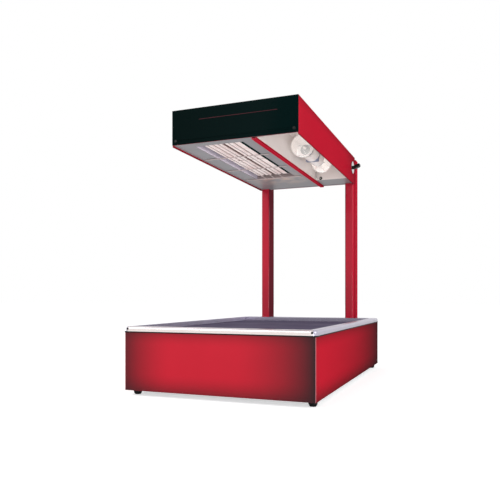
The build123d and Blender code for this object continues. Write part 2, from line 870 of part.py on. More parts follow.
def lamp_reflector():
    shell = along_y(trough_outline(0), trough_front, trough_rear)
    shell -= along_y(trough_outline(trough_wall), trough_front + trough_wall, trough_rear - trough_wall)
    grommet_x, grommet_z = grommet_place()
    shell -= rod_y(grommet_x, trough_rear - trough_wall, trough_rear, grommet_z,
                   grommet_radius - grommet_lip)
    save("lamp_reflector", shell)


def lamp_solid(inset):
    bulb = Pos(0, lamp_length, 0) * Sphere(lamp_radius - inset)
    cone = Cone(lamp_neck_radius - inset, lamp_cone_radius - inset, lamp_length)
    return bulb + Pos(0, lamp_length / 2, 0) * Rot(-90, 0, 0) * cone


def lamps():
    glass = lamp_solid(0) - lamp_solid(lamp_glass)
    socket = rod_y(0, -socket_length, 0, 0, socket_radius)
    socket -= rod_y(0, -socket_length + socket_floor, 0, 0, lamp_cap_radius + lamp_cap_gap)
    cap_end = -socket_length + socket_floor
    cap = rod_y(0, cap_end, cap_end + lamp_cap_length, 0, lamp_cap_radius)
    glass = Pos(0, cap_end + lamp_cap_length, 0) * glass
    front = Pos(lamp_x, bracket_front - socket_length, lamp_height) * Rot(0, 0, 180)
    rear = Pos(lamp_x, bracket_rear + socket_length, lamp_height)
    save("lamp_bulbs", front * glass, rear * glass)
    save("lamp_caps", front * cap, rear * cap)
    save("lamp_sockets", front * socket, rear * socket)
    ceiling = plane_height + trough_height - trough_wall
    x0 = lamp_x - bracket_width / 2
    x1 = lamp_x + bracket_width / 2
    bracket = block(x0, x1, bracket_front, bracket_rear, lamp_height - bracket_drop, ceiling)
    bracket -= block(x0, x1, bracket_front + bracket_wall, bracket_rear - bracket_wall,
                     lamp_height - bracket_drop, ceiling - bracket_wall)
    save("lamp_bracket", bracket)


def grommet_place():
    return divider_right + grommet_from_divider, plane_height + grommet_lift


def lead_grommet():
    x, z = grommet_place()
    wall_front = trough_rear - trough_wall
    ring = rod_y(x, wall_front - grommet_lip, wall_front, z, grommet_radius)
    ring += rod_y(x, wall_front, trough_rear, z, grommet_radius - grommet_lip)
    ring -= rod_y(x, wall_front - grommet_lip, trough_rear, z, grommet_bore)
    save("lead_grommet", ring)


def lamp_lead():
    x, z = grommet_place()
    wall_front = trough_rear - trough_wall
    corner_x = divider_right + trough_wall + lamp_lead_radius
    high = plane_height + trough_height - trough_wall - lamp_lead_radius
    drop_y = wall_front - grommet_lip - lamp_lead_bend
    start_x = lamp_x - bracket_width / 4
    route = [(start_x, bracket_rear, high), (start_x, bracket_rear + lamp_lead_run, high),
             (corner_x, bracket_rear + 3 * lamp_lead_run, high), (corner_x, drop_y, high),
             (corner_x, drop_y, z), (x, drop_y, z), (x, trough_rear + lamp_lead_bend, z)]
    return tube(route, lamp_lead_bend, lamp_lead_radius)


os.makedirs("parts", exist_ok=True)
base_panels()
base_rear_panel()
base_floor()
feet()
corner_angles()
rim()
holding_plate()
base_heater()
rear_cross_member()
switches()
cord_gland()
base_terminal_block()
base_leads()
posts()
post_cable()
arms()
clamp_knobs()
head_sides()
head_covers()
divider()
linings()
element_reflector()
heaters()
wire_guard()
head_wiring()
lamp_reflector()
lamps()
lead_grommet()
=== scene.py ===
import json
import math

import bmesh
import bpy
from bpy.props import FloatProperty, FloatVectorProperty, IntProperty, PointerProperty
from mathutils import Matrix, Vector

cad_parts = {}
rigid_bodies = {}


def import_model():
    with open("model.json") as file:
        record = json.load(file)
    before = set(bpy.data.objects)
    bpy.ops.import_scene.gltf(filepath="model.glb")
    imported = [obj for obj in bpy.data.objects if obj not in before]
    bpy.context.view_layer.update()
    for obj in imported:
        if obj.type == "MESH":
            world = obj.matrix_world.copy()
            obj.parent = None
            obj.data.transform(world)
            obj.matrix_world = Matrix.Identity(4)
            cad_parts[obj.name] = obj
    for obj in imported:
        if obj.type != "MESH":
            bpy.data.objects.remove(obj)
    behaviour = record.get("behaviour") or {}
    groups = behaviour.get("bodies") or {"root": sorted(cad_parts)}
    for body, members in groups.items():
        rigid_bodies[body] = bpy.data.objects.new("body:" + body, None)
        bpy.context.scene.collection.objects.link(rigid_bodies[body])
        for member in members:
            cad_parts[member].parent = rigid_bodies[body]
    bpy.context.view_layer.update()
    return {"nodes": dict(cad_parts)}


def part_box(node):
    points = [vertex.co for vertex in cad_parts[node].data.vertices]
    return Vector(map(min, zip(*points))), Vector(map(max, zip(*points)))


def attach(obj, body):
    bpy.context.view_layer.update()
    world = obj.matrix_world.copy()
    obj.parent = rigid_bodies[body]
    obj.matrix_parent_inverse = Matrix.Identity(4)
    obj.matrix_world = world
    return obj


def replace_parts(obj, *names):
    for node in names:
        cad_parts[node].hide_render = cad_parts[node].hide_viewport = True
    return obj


bl_info = {
    "name": "Chip Warmer Finishes",
    "version": (1, 0, 0),
    "blender": (4, 5, 0),
    "location": "View3D > Sidebar > Warmer",
    "description": "Finishes and fine pieces for a countertop chip warmer",
    "category": "Object",
}

for leftover in list(bpy.data.objects):
    bpy.data.objects.remove(leftover)

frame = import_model()

MM = 0.001
MERGE = 0.001 * MM


def colour(name, description, *display):
    """A colour setting; its default is three display values from 0 to 255, made linear."""
    shares = [value / 255 for value in display]
    linear = tuple(s / 12.92 if s <= 0.04045 else ((s + 0.055) / 1.055) ** 2.4 for s in shares)
    return FloatVectorProperty(
        name=name, description=description, subtype="COLOR", size=3, min=0, max=1, default=linear
    )


def amount(name, description, default, unit="NONE"):
    return FloatProperty(name=name, description=description, unit=unit, min=0, default=default)


def length(name, description, millimetres):
    return amount(name, description, millimetres * MM, "LENGTH")


# ---- settings ----
class WarmerPaint(bpy.types.PropertyGroup):
    """Colours of the warmer's finishes"""

    base_red: colour("Base red", "Enamel in the middle of each base panel", 188, 31, 48)
    # Painted shade: the base panels and the head's sides darken towards their edges.
    edge_shade_dark: colour("Edge shade dark", "Painted shade at the edges of a base panel", 44, 30, 33)
    head_red: colour("Head red", "Enamel of the head and the post caps", 180, 25, 45)
    post_red: colour("Post red", "Enamel of the two posts", 186, 26, 50)
    # Painted shade: the posts' front, rear and inner faces are darker than their outer sides.
    post_front_shade: colour("Post front shade", "Painted shade on the front and rear of the posts", 170, 28, 48)
    post_inner_shade: colour("Post inner shade", "Painted shade on the sides of the posts that face each other", 98, 21, 35)
    # Heat tint and painted shade: end walls of the reflector are darker and warm.
    end_wall_tint_and_shade: colour("End wall tint and shade", "Heat tint and painted shade on the end walls round the heaters", 158, 144, 142)
    # Painted shade: faces of the head's side panels that look down are darker.
    head_edge_shade: colour("Head edge shade", "Painted shade on the lower edges of the head's side panels", 92, 20, 36)
    # Painted shade: the head's side panels darken towards their rear and lower edges.
    head_rear_shade: colour("Head rear shade", "Painted shade at the rear and edges of the head's sides", 84, 26, 36)
    # Painted highlight: the front-facing edges of the base side panels are paler.
    edge_glint: colour("Edge glint", "Painted highlight on the front edges of the base side panels", 178, 118, 124)
    sleeve_pale: colour("Pale sleeve", "Glass-fibre sleeves on the head's leads", 196, 190, 186)
    # Wear and painted highlight: sharp edges of the enamel are paler pink.
    chip_and_glint_pink: colour("Chip and glint pink", "Worn enamel and painted highlight on sharp edges", 228, 96, 112)
    fascia_black: colour("Fascia black", "Green-black enamel of the front panel", 0, 13, 12)
    fascia_lift: colour("Fascia lift", "Lighter green-black towards one side", 4, 20, 20)
    stripe_red: colour("Stripe red", "Thin line across the front panel", 70, 20, 30)
    bright_metal: colour("Bright metal", "Lower part of the bright rim", 226, 217, 214)
    # Painted shade: the upper part of the bright rim is darker.
    rim_upper_shade: colour("Rim upper shade", "Painted shade on the upper part of the bright rim", 206, 197, 201)
    # Painted shade: the side rails and the rear deck take a darker, bluer tone of the bright rim metal.
    rim_side_shade: colour("Rim side shade", "Painted shade: darker tone of the rim metal on its side rails and the rear deck", 182, 177, 193)
    hard_coat: colour("Hard coat", "Dark coating of the holding plate", 98, 91, 112)
    hard_coat_low: colour("Hard coat low", "Darker patches of that coating", 82, 75, 98)
    zinc: colour("Zinc", "Plated sheet and fasteners", 190, 191, 194)
    lining: colour("Lining", "Satin sheet under the head", 138, 136, 139)
    polish: colour("Polish", "Polished reflector round the heaters", 228, 224, 240)
    ceramic: colour("Ceramic", "Heater tiles", 250, 240, 236)
    ceramic_pink: colour("Ceramic pink", "Warm tint in the heater tiles", 240, 218, 214)
    # Painted shade: sides of the heater tiles are darker.
    tile_side_shade: colour("Tile side shade", "Painted shade on the sides of the heater tiles", 150, 124, 120)
    enamel_white: colour("Enamel white", "Reflector round the lamps", 234, 227, 224)
    enamel_warm: colour("Enamel warm", "Warmer patches of that reflector", 224, 214, 210)
    rubber: colour("Rubber", "Feet and grommets", 14, 14, 16)
    plastic: colour("Plastic", "Knobs, gland and switches", 9, 12, 13)
    # Painted shade: the bar beside the heaters is black where the gap lies in shadow.
    rail_shadow_black: colour("Rail shadow black", "Painted shade: black bar beside the heaters, where the gap lies in shadow", 12, 32, 32)
    silicone: colour("Silicone", "Heater mat under the plate", 190, 92, 52)
    wool: colour("Wool", "Insulation boards", 206, 196, 172)
    brass: colour("Brass", "Switch terminals", 206, 176, 104)
    phenolic: colour("Phenolic", "Terminal block of the base", 70, 48, 36)
    divider_red: colour("Divider red", "Enamel of the divider under the head", 176, 27, 48)
    heat_tint: colour("Heat tint", "Warm patches behind the heaters", 182, 160, 150)
    wire: colour("Guard wire", "Plated wire across the heaters", 196, 182, 180)
    # Painted glow: the lamp glass also gives off a little light in this colour.
    glass_milk_glow: colour("Glass milk and glow", "Slight white of the lamp glass and its faint painted glow", 248, 244, 241)
    mark_white: colour("Mark white", "Printed marks on the rockers", 224, 224, 222)
    # Painted shade: the lamp caps and bracket are a bluish grey that stands for their metal in shade.
    cap_shade_blue: colour("Cap shade blue", "Painted shade: bluish grey of the lamp caps and their bracket, for their metal in shade", 140, 146, 168)
    tungsten: colour("Tungsten", "Lamp filaments and heat discs", 20, 16, 15)


class WarmerSizes(bpy.types.PropertyGroup):
    """Sizes of the fine pieces that are added to the solids"""

    sheet_round: length("Sheet round", "Radius on folded and cut sheet edges", 0.35)
    part_round: length("Part round", "Radius on the edges of thicker parts", 0.8)
    knob_round: length("Knob round", "Radius on the edges of the paddle knobs", 1.4)
    glass_wall: length("Glass wall", "Thickness of the lamp glass", 0.9)
    stripe_length: length("Stripe length", "Length of the line on the front panel", 157)
    stripe_width: length("Stripe width", "Height of the line on the front panel", 0.9)
    screw_recess: length("Screw recess", "Depth of the cross in a screw head", 0.7)
    mark_raise: length("Mark raise", "How far the marks stand out of the rockers", 0.12)
    stripe_thick: length("Stripe thickness", "How far that line stands proud", 0.15)
    tile_gap: length("Tile gap", "Room between the heater tiles", 4)
    bar_depth: length("Bar depth", "Height of the bars on a heater tile", 9)
    bar_gap: length("Bar gap", "Groove between the two bars of a tile", 2)
    bar_round: length("Bar round", "Radius on the edges of those bars", 3.2)
    shadow_strip_height: length("Shadow strip height", "Dark strip under the bright rim that stands for its shadow", 2.2)
    shadow_strip_proud: length("Shadow strip proud", "How far the dark strip stands out of the body", 0.5)
    filament_wire: length("Filament wire", "Radius of a lamp's filament coil wire", 0.14)
    filament_turns: IntProperty(name="Filament turns", description="Turns in a lamp's coil", min=3, default=16)


class WarmerStage(bpy.types.PropertyGroup):
    """Floor, light and camera"""

    camera_place: FloatVectorProperty(
        name="Camera place", description="Where the camera stands", unit="LENGTH", size=3,
        default=(0.4211, -1.2056, 0.1803)
    )
    camera_turn: FloatProperty(
        name="Camera turn", description="Turn about the vertical", unit="ROTATION", default=math.radians(21.63)
    )
    camera_lens: amount("Lens", "Focal length on a 36 mm frame", 41.3)
    camera_shift: FloatProperty(name="Shift", description="Upward shift of the frame", default=0.0944)
    floor_colour: FloatVectorProperty(
        name="Floor colour", description="Pale studio floor", subtype="COLOR", size=3, min=0, max=1,
        default=(0.86, 0.86, 0.86)
    )
    floor_lift: amount("Floor lift", "White added where the floor is seen", 0.5)
    mirror_lift: amount("Mirror lift", "White added where the floor is mirrored", 0.2)
    ambient: amount("Ambient", "Strength of the even light", 0.64)
    key: amount("Key", "Power of the main soft lamp", 30.0, "POWER")
    fill: amount("Fill", "Power of the side lamp", 22.0, "POWER")
    low: amount("Low", "Power of the low front lamp", 7.0, "POWER")
    under: amount("Under", "Power of the soft lamp under the head", 0.6, "POWER")


# ---- shader building ----
def add(tree, kind, settings=None, **inputs):
    """A node with its settings, and its inputs given values or joined to sockets."""
    node = tree.nodes.new(kind)
    for name, value in (settings or {}).items():
        setattr(node, name, value)
    for name, value in inputs.items():
        place = int(name[1:]) if name[1:].isdigit() else name.replace("_", " ")
        join(tree, value, node.inputs[place])
    return node


def join(tree, value, socket):
    if isinstance(value, bpy.types.NodeSocket):
        tree.links.new(value, socket)
    elif hasattr(value, "__len__") and socket.type == "RGBA" and len(value) == 3:
        socket.default_value = (*value, 1)
    else:
        socket.default_value = value


def maths(tree, operation, first, second=0.0, clamp=False):
    how = {"operation": operation, "use_clamp": clamp}
    return add(tree, "ShaderNodeMath", how, _0=first, _1=second).outputs[0]


def times(tree, first, second, clamp=False):
    return maths(tree, "MULTIPLY", first, second, clamp)


def mix(tree, factor, first, second):
    return add(tree, "ShaderNodeMix", {"data_type": "RGBA"}, _0=factor, _6=first, _7=second).outputs[2]


def remap(tree, value, low=0.0, high=1.0, first=0.0, last=1.0):
    """Carries low to high onto first to last, and holds beyond them."""
    return add(tree, "ShaderNodeMapRange", _0=value, _1=low, _2=high, _3=first, _4=last).outputs[0]


def shade(tone, strength):
    return tuple(value * strength for value in tone)


def facing(tree):
    """The three parts of the way a face looks."""
    normal = tree.nodes.new("ShaderNodeNewGeometry").outputs["Normal"]
    return add(tree, "ShaderNodeSeparateXYZ", Vector=normal).outputs


def noise(tree, place, scale, detail=3.0):
    return add(tree, "ShaderNodeTexNoise", Vector=place, Scale=scale, Detail=detail).outputs[0]


groups = {}


def start_group(name, inputs, **outputs):
    """A shader group; an input is given as a kind of socket, or as the value it starts with."""
    tree = bpy.data.node_groups.new(name, "ShaderNodeTree")
    for label, given in inputs.items():
        kind = given if isinstance(given, str) else "Vector" if isinstance(given, tuple) else "Float"
        socket = tree.interface.new_socket(label, in_out="INPUT", socket_type="NodeSocket" + kind)
        if kind != given:
            socket.default_value = given
    for label, kind in outputs.items():
        tree.interface.new_socket(label, in_out="OUTPUT", socket_type="NodeSocket" + kind)
    groups[name] = tree
    return tree, tree.nodes.new("NodeGroupInput").outputs, tree.nodes.new("NodeGroupOutput").inputs


def marks_group(name, detail, inputs):
    """Fine marks as a roughness value and a height; with a Stretch they are lines where it is small."""
    tree, given, made = start_group(name, inputs, Value="Float", Height="Float")
    place = given["Place"]
    if "Stretch" in inputs:
        place = add(tree, "ShaderNodeVectorMath", {"operation": "MULTIPLY"}, _0=place, _1=given["Stretch"])
        place = place.outputs[0]
    marks = noise(tree, place, given["Scale"], detail)
    varied = times(tree, maths(tree, "SUBTRACT", marks, 0.5), given["Swing"])
    join(tree, maths(tree, "ADD", given["Base"], varied, clamp=True), made["Value"])
    join(tree, marks, made["Height"])


def marks_groups():
    """Fine all-over grain, and lines left by brushing."""
    marks_group("Surface grain", 5.0, {"Place": "Vector", "Scale": 900.0, "Base": 0.3, "Swing": 0.1})
    marks_group("Brushed lines", 4.0,
                {"Place": "Vector", "Stretch": (1.0, 1.0, 1.0), "Scale": 2500.0, "Base": 0.25, "Swing": 0.2})


def blotch_group():
    """Slow change between two colours."""
    inputs = {"Place": "Vector", "Scale": 12.0, "First": "Color", "Second": "Color"}
    tree, given, made = start_group("Colour drift", inputs, Colour="Color")
    slow = noise(tree, given["Place"], given["Scale"], 4.0)
    join(tree, mix(tree, remap(tree, slow, 0.35, 0.65), given["First"], given["Second"]), made["Colour"])


def edge_group():
    """Mask of sharp edges, where the finish is worn and where a painted highlight is laid."""
    inputs = {"Place": "Vector", "Radius": 0.8 * MM, "Amount": 1.0}
    tree, given, made = start_group("Edge wear and glint", inputs, Mask="Float")
    rounded = add(tree, "ShaderNodeBevel", {"samples": 4}, Radius=given["Radius"]).outputs[0]
    flat = tree.nodes.new("ShaderNodeNewGeometry").outputs["Normal"]
    turned = add(tree, "ShaderNodeVectorMath", {"operation": "DOT_PRODUCT"}, _0=rounded, _1=flat).outputs["Value"]
    sharp = remap(tree, turned, 0.99, 0.8)
    broken = remap(tree, noise(tree, given["Place"], 220.0), first=0.35)
    join(tree, times(tree, times(tree, sharp, broken), given["Amount"]), made["Mask"])


def dust_group():
    """Mask of light dust and grease film on faces that look up."""
    tree, given, made = start_group("Settled film", {"Place": "Vector", "Amount": 0.2}, Mask="Float")
    patches = noise(tree, given["Place"], 38.0, 6.0)
    film = times(tree, maths(tree, "MAXIMUM", facing(tree)["Z"], 0.15), patches)
    join(tree, times(tree, film, given["Amount"], clamp=True), made["Mask"])


SIDES = ("Left", "Right", "Low", "Top")


def fade_group():
    """Painted shade that darkens a panel towards four edges: a mask from 0 at an edge to 1 in the middle."""
    inputs = {"Across": 0.5, "Up": 0.5}
    for side in SIDES:
        inputs[side + " reach"], inputs[side + " depth"] = 0.3, 0.5
    tree, given, made = start_group("Painted edge shade", inputs, Mask="Float")
    across, up = given["Across"], given["Up"]
    distances = across, maths(tree, "SUBTRACT", 1.0, across), up, maths(tree, "SUBTRACT", 1.0, up)
    kept = 1.0
    for side, distance in zip(SIDES, distances):
        reached = maths(tree, "DIVIDE", distance, given[side + " reach"], clamp=True)
        left = maths(tree, "POWER", maths(tree, "SUBTRACT", 1.0, reached), 1.5)
        here = maths(tree, "SUBTRACT", 1.0, times(tree, left, given[side + " depth"]))
        kept = times(tree, kept, here)
    join(tree, kept, made["Mask"])


def use(tree, name, **inputs):
    """A shared group placed in a material with its own values."""
    node = tree.nodes.new("ShaderNodeGroup")
    node.node_tree = groups[name]
    for label, value in inputs.items():
        join(tree, value, node.inputs[label.replace("_", " ")])
    return node.outputs


def drifting(tree, place, scale, first, second):
    return use(tree, "Colour drift", Place=place, Scale=scale, First=first, Second=second)["Colour"]


def edge_wear_and_glint(tree, place, radius, strength):
    return use(tree, "Edge wear and glint", Place=place, Radius=radius, Amount=strength)["Mask"]


def start_material(name, **plain):
    """A material, its tree and the Object coordinates; plain values go on the shader's sockets."""
    material = bpy.data.materials.new(name)
    material.use_nodes = True
    tree = material.node_tree
    for label, value in plain.items():
        tree.nodes["Principled BSDF"].inputs[label.replace("_", " ")].default_value = value
    return material, tree, tree.nodes.new("ShaderNodeTexCoord").outputs["Object"]


def surface(material, place, base, scale, rough, swing, height, depth, coat=None, stretch=None, film=None):
    """Joins a finish's base colour, roughness, small relief and, where it has one, its coat.

    The relief is all-over grain, or brushed lines where stretch is given.
    """
    tree = material.node_tree
    sockets = tree.nodes["Principled BSDF"].inputs
    kind, extra = ("Brushed lines", {"Stretch": stretch}) if stretch else ("Surface grain", {})
    marks = use(tree, kind, Place=place, Scale=scale, Base=rough, Swing=swing, **extra)
    value = maths(tree, "ADD", marks["Value"], film, clamp=True) if film else marks["Value"]
    raised = add(tree, "ShaderNodeBump", Height=marks["Height"], Strength=height, Distance=depth).outputs[0]
    join(tree, base, sockets["Base Color"])
    join(tree, value, sockets["Roughness"])
    join(tree, raised, sockets["Normal"])
    if coat:
        join(tree, gloss(tree, coat), sockets["Coat Weight"])
    return material


def within(tree, place, node, *axes):
    """Where a point lies on a panel, 0 to 1 along each named axis."""
    low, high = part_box(node)
    parts = add(tree, "ShaderNodeSeparateXYZ", Vector=place).outputs
    return [remap(tree, parts[axis], low["XYZ".index(axis)], high["XYZ".index(axis)]) for axis in axes]


def painted_edge_shade(tree, place, node, axis, edges):
    """Mask of painted shade on a panel, 0 at a shaded edge and 1 where it keeps its colour; edges are the reach
    and depth of the shade at its four edges.
    """
    across, up = within(tree, place, node, axis, "Z")
    amounts = {}
    for side, (reach, depth) in zip(SIDES, edges):
        amounts[side + "_reach"], amounts[side + "_depth"] = reach, depth
    return use(tree, "Painted edge shade", Across=across, Up=up, **amounts)["Mask"]


def gloss(tree, most):
    """Coat weight that is full face on and thin along the surface, so that deep paint keeps its colour."""
    turned = add(tree, "ShaderNodeLayerWeight", Blend=0.5).outputs["Facing"]
    return remap(tree, turned, 0.1, 0.75, most, 0.01)


def enamel(name, red, chip_and_glint, fade=None, drift=0.94, coat=0.3, rough=0.4, wear=0.35, under=None, sides=()):
    """Gloss enamel with orange peel.

    fade is (node, axis, edges, dark colour) for painted shade towards a panel's edges, sides are (axis, sign,
    colour) for the faces that look that way, which paint shade or a highlight on them, and under is the colour of
    faces that look down.
    """
    material, tree, place = start_material(name, Specular_IOR_Level=0.0, Coat_Roughness=0.1)
    base = drifting(tree, place, 7.0, red, shade(red, drift))
    if fade:
        *panel, dark = fade
        # Painted shade: the panel darkens towards its edges.
        base = mix(tree, painted_edge_shade(tree, place, *panel), dark, base)
    normal = facing(tree)
    for axis, sign, tone in sides:
        turned = remap(tree, times(tree, normal[axis], sign), 0.35, 0.95)
        base = mix(tree, turned, base, tone)
    # Wear and painted highlight on sharp edges.
    base = mix(tree, edge_wear_and_glint(tree, place, 0.7 * MM, wear), base, chip_and_glint)
    if under:
        base = mix(tree, maths(tree, "LESS_THAN", normal["Z"], -0.7), base, under)
    return surface(material, place, base, 420, rough, swing=0.08, height=0.05, depth=0.6 * MM, coat=coat)


def metal(name, tone, stretch=(1, 1, 1), scale=2500, rough=0.25, swing=0.2, drift=0.88, height=0.12,
          film=0.1, rise=None, shine=1.0):
    """Bare or plated metal, brushed along the axis where stretch is small; rise is (node, upper tone), a painted
    shade on the upper part.
    """
    material, tree, place = start_material(name, Metallic=shine)
    dull = shade(tone, drift)
    base = drifting(tree, place, 26.0, tone, dull)
    # Painted shade: the upper part takes the darker tone.
    if rise:
        node, upper = rise
        base = mix(tree, remap(tree, within(tree, place, node, "Z")[0], 0.45, 0.85), base, upper)
    dust = use(tree, "Settled film", Place=place, Amount=film)["Mask"]
    base = mix(tree, dust, base, dull)
    return surface(material, place, base, scale, rough, swing, height, 0.1 * MM, stretch=stretch, film=dust)


def moulded(name, tone, rough=0.4, scale=1400, height=0.15, wear=0.3, swing=0.12, level=0.4):
    """Plastic, rubber, fibre or coated metal, with fine grain and lighter edges."""
    material, tree, place = start_material(name, Specular_IOR_Level=level)
    pale = tuple(min(1.0, value * 1.7 + 0.015) for value in tone)
    base = drifting(tree, place, 60.0, tone, shade(tone, 0.85))
    base = mix(tree, edge_wear_and_glint(tree, place, 0.6 * MM, wear), base, pale)
    return surface(material, place, base, scale, rough, swing, height, 0.3 * MM)


def two_tone(name, first, second, patch, rough, scale=900, level=0.4, height=0.1):
    """A finish that drifts between two colours, such as ceramic or white enamel."""
    material, tree, place = start_material(name, Metallic=0.0, Specular_IOR_Level=level)
    base = drifting(tree, place, patch, first, second)
    return surface(material, place, base, scale, rough, swing=0.12, height=height, depth=0.4 * MM)


def cover(material, *nodes):
    """Gives every slot of the named solids one material."""
    for node in nodes:
        for place in frame["nodes"][node].material_slots:
            place.material = material


def soften(width, *nodes):
    """Small rounds on the sharp edges of solids, so that they catch light."""
    for node in nodes:
        solid = frame["nodes"][node]
        weld = solid.modifiers.new("join corners", "WELD")
        weld.merge_threshold = 0.01 * MM
        rounds = solid.modifiers.new("edge rounds", "BEVEL")
        rounds.width = width
        rounds.segments = 2
        rounds.limit_method = "ANGLE"
        rounds.angle_limit = math.radians(50)
        rounds.harden_normals = True


# ---- meshes ----
def show(name, data):
    """An object in the scene."""
    made = bpy.data.objects.new(name, data)
    bpy.context.scene.collection.objects.link(made)
    return made


def round_edges(bm, edges, offset, segments):
    bmesh.ops.bevel(bm, geom=edges, offset=offset, affect="EDGES", segments=segments, profile=0.5, material=-1)


def finish_piece(name, bm, material, body, smooth_angle=35.0):
    """A mesh piece from a bmesh, its faces turned outward, riding on a body."""
    bmesh.ops.recalc_face_normals(bm, faces=bm.faces)
    mesh = bpy.data.meshes.new(name)
    bm.to_mesh(mesh)
    bm.free()
    mesh.materials.append(material)
    for face in mesh.polygons:
        face.use_smooth = True
    mesh.set_sharp_from_angle(angle=math.radians(smooth_angle))
    made = show(name, mesh)
    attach(made, body)
    return made


def add_block(bm, low, high, edge=0.0, segments=2):
    """A box between two corners, its edges rounded."""
    size = Vector(high) - Vector(low)
    centre = (Vector(high) + Vector(low)) / 2
    shape = Matrix.Translation(centre) @ Matrix.Diagonal((*size, 1))
    made = bmesh.ops.create_cube(bm, size=1, matrix=shape)
    if edge:
        round_edges(bm, list({e for v in made["verts"] for e in v.link_edges}), edge, segments)


def add_turned(bm, outline, centre, axis, steps):
    """Turns an outline of (radius, distance) pairs about an axis through centre."""
    along = Vector([float(letter == axis) for letter in "XYZ"])
    out = Vector((0, 0, 1)) if axis != "Z" else Vector((1, 0, 0))
    centre = Vector(centre)
    points = [bm.verts.new(centre + out * radius + along * distance) for radius, distance in outline]
    edges = [bm.edges.new(pair) for pair in zip(points, points[1:])]
    bmesh.ops.spin(bm, geom=points + edges, cent=centre, axis=along, angle=math.tau, steps=steps, use_merge=True)
    bmesh.ops.remove_doubles(bm, verts=bm.verts, dist=MERGE)


def in_mm(outline, way=1):
    """An outline of pairs in millimetres, its distances along way."""
    return [(radius * MM, distance * way * MM) for radius, distance in outline]


def carry(bm, before, placed):
    """Moves what came into a bmesh since before."""
    bmesh.ops.transform(bm, matrix=placed, verts=[v for v in bm.verts if v not in before])


def add_wire(bm, start, end, radius):
    """A straight wire with closed ends."""
    turn = (end - start).to_track_quat("Z", "Y").to_matrix().to_4x4()
    bmesh.ops.create_cone(
        bm, cap_ends=True, segments=8, radius1=radius, radius2=radius, depth=(end - start).length,
        matrix=Matrix.Translation((start + end) / 2) @ turn
    )


# ---- pieces ----
def lamp_facts():
    """Centre, direction and radius of each lamp's globe, from the solids."""
    low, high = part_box("lamp_bulbs")
    radius = (high.x - low.x) / 2
    x, z = (low.x + high.x) / 2, (low.z + high.z) / 2
    return radius, (Vector((x, low.y + radius, z)), -1), (Vector((x, high.y - radius, z)), 1)


def build_lamp_glass(sizes, glass):
    """One closed wall of glass for each lamp: a globe that narrows to its cap."""
    radius, *lamps = lamp_facts()
    low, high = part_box("lamp_caps")
    into_cap, reach, neck_steps, ball_steps = 0.8 * MM, 39 * MM, 8, 18
    neck_radius = (high.x - low.x) / 2 - into_cap
    made = bmesh.new()
    angles = [math.radians(115) * k / ball_steps for k in range(ball_steps + 1)]
    ball = [(radius * math.sin(angle), radius * math.cos(angle)) for angle in angles]
    wide, far = ball[-1]
    for centre, way in lamps:
        neck = []
        for k in range(1, neck_steps + 1):
            t = k / neck_steps
            eased = t * t * (3 - 2 * t)
            neck.append((wide + (neck_radius - wide) * eased, far - (reach + far) * t))
        add_turned(made, [(r, d * way) for r, d in ball + neck], centre, "Y", 40)
    glass_piece = finish_piece("lamp_glass", made, glass, "head", 60)
    wall = glass_piece.modifiers.new("glass wall", "SOLIDIFY")
    wall.thickness = sizes.glass_wall
    wall.offset = -1
    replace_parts(glass_piece, "lamp_bulbs")


def build_lamp_insides(paint, sizes):
    """The stem, heat disc, support wires and filament coil inside each lamp."""
    lamps = lamp_facts()[1:]
    stem_paint = moulded("lamp stem glass", paint.enamel_warm, rough=0.2, scale=900, height=0.05, wear=0.1)
    wire_paint = moulded("filament metal", paint.tungsten, rough=0.5, scale=3000, height=0.1, level=0.1)
    stem_line = [(0.0, 12), (2.2, 12.6), (2.6, 15), (2.9, 24), (4.5, 32), (9.5, 38), (9.5, 38.6), (0.0, 38.6)]
    disc_line = [(0.0, 22.4), (10.2, 22.4), (10.8, 22.7), (10.8, 23.3), (10.2, 23.6), (0.0, 23.6)]
    disc_drop, half_coil, coil_radius, coil_ahead = 3 * MM, 7 * MM, 1.1 * MM, 3 * MM
    support, foot_apart, foot_behind = 0.35 * MM, 1.6 * MM, 13 * MM
    stem, wires = bmesh.new(), bmesh.new()
    for centre, way in lamps:
        add_turned(stem, in_mm(stem_line, -way), centre, "Y", 20)
        add_turned(wires, in_mm(disc_line, -way), centre - Vector((0, 0, disc_drop)), "Y", 28)
        for side in (-1, 1):
            top = centre + Vector((side * half_coil, way * coil_ahead, 0))
            foot = centre + Vector((side * foot_apart, -way * foot_behind, 0))
            add_wire(wires, foot, top, support)
        start = centre + Vector((-half_coil, way * coil_ahead, 0))
        coil = bmesh.ops.create_circle(
            wires, segments=6, radius=sizes.filament_wire,
            matrix=Matrix.Translation(start + Vector((0, 0, coil_radius)))
        )["verts"]
        ring = coil + list({edge for v in coil for edge in v.link_edges})
        steps = 12 * sizes.filament_turns
        bmesh.ops.spin(
            wires, geom=ring, cent=start, axis=(1, 0, 0), dvec=(2 * half_coil / steps, 0, 0),
            angle=math.tau * sizes.filament_turns, steps=steps
        )
    for shape in (stem, wires):
        bmesh.ops.remove_doubles(shape, verts=shape.verts, dist=MERGE)
    finish_piece("lamp_stems", stem, stem_paint, "head", 40)
    finish_piece("lamp_filaments", wires, wire_paint, "head", 40)


